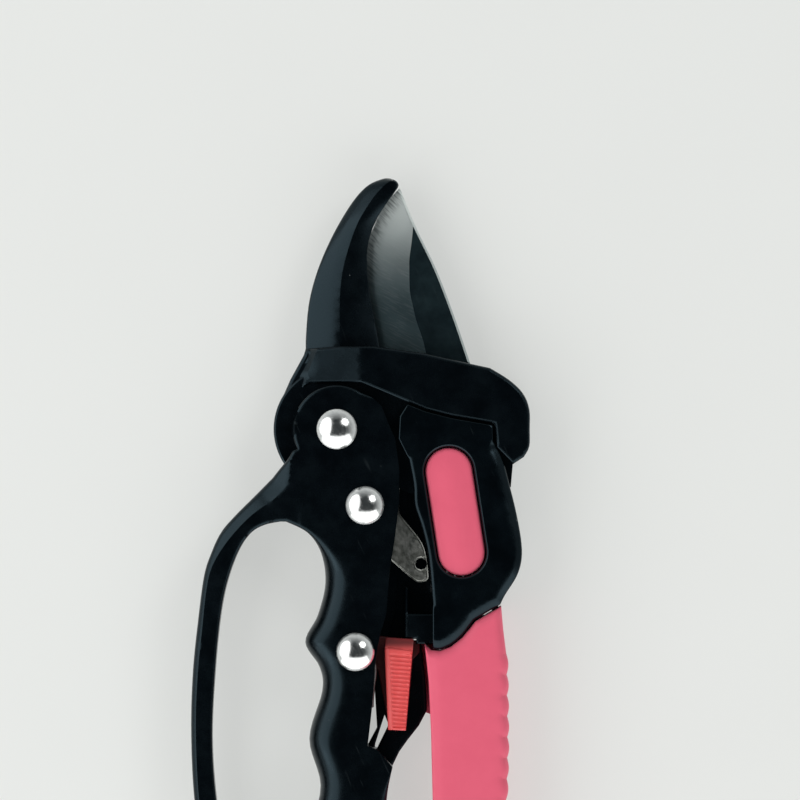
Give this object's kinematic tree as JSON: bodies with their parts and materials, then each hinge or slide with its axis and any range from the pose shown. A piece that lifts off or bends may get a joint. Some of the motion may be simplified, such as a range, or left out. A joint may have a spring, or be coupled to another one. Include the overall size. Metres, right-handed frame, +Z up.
{
  "type": "anvil pruner",
  "caption": "Hand pruner with a straight steel blade closing on a curved anvil jaw, a finger-guard handle, a soft-grip handle and a thumb catch.",
  "frame": {"origin": "centre of the bounding box's bottom, on the surface that the pruner lies on", "axes": "+X from the finger guard towards the soft grip, +Y towards the blade's tip, +Z up, through the thickness, towards the domed rivet heads"},
  "size_m": [0.0846, 0.2046, 0.0199],
  "materials": {
    "black_plastic": "satin moulded, fine texture",
    "pink_rubber": "soft matt overmould",
    "red_plastic": "satin",
    "blade_steel": "ground bevel, dark coated flat",
    "rivet_chrome": "polished",
    "spring_wire": "drawn wire",
    "screw_steel": "zinc plated",
    "anvil_alloy": "satin",
    "bush_plastic": "natural acetal"
  },
  "bodies": {
    "blade_lever": {"left_handle": "black_plastic", "finger_guard": "black_plastic", "blade": "blade_steel", "pivot_rivet": "rivet_chrome", "pivot_rivet_cap": "rivet_chrome", "tail_rivet": "rivet_chrome", "tail_rivet_cap": "rivet_chrome", "lock_rivet": "rivet_chrome", "lock_rivet_cap": "rivet_chrome", "pivot_bush_front": "bush_plastic", "pivot_bush_back": "bush_plastic", "return_spring": "spring_wire", "lock_spring": "spring_wire"},
    "anvil_lever": {"anvil_lever": "black_plastic", "anvil_strip": "anvil_alloy", "handle_cover": "black_plastic", "thumb_pad": "pink_rubber", "grip": "pink_rubber", "cover_screw_upper": "screw_steel", "cover_screw_lower": "screw_steel"},
    "catch": {"lock_lever": "red_plastic"}
  },
  "joints": [
    {"name": "lever_swing", "type": "hinge", "parent": "blade_lever", "child": "anvil_lever", "pos_m": [-0.0059, 0.03965, 0.0086], "axis": [0, 0, 1], "range_deg": [0, 32], "deforming": ["return_spring"]},
    {"name": "catch_turn", "type": "hinge", "parent": "blade_lever", "child": "catch", "pos_m": [-0.0013, -0.01585, 0.0086], "axis": [0, 0, 1], "range_deg": [0, 10]}
  ]
}
